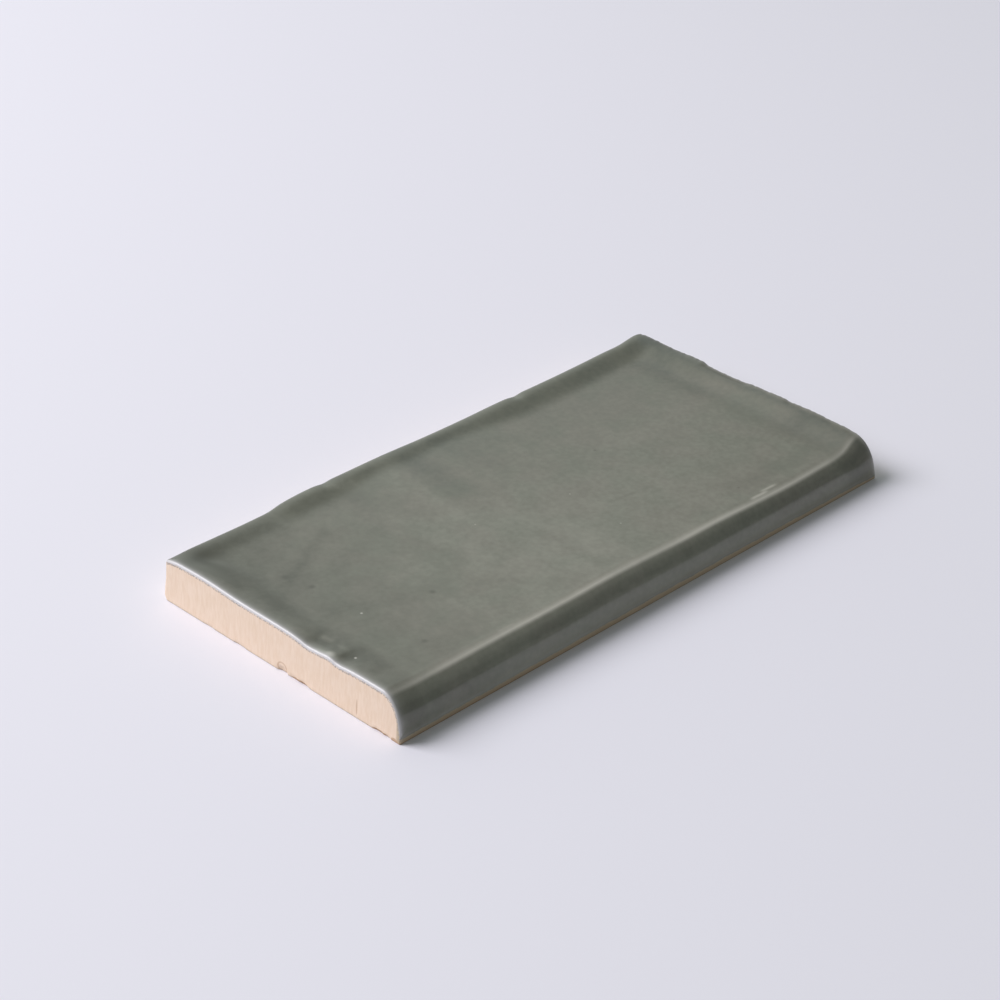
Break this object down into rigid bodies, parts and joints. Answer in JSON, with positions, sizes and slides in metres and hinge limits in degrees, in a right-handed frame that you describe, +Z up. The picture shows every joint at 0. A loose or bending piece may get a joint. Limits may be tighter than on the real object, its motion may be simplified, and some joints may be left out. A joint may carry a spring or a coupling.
{
  "type": "bullnose tile",
  "caption": "Rectangular glazed ceramic wall tile with one rounded long edge, a softly waved, dished face, trimmed bare sides and a flat back.",
  "frame": {"origin": "middle of the flat back, on the surface that the tile lies on", "axes": "+X along the length, +Y from the bullnose edge to the trimmed long side, +Z up out of the glazed face"},
  "size_m": [0.15, 0.075, 0.0115],
  "materials": {
    "glazed_clay": "satin gloss sage grey glaze over pale peach biscuit"
  },
  "bodies": {
    "root": {"bullnose_tile": "glazed_clay"}
  },
  "joints": []
}
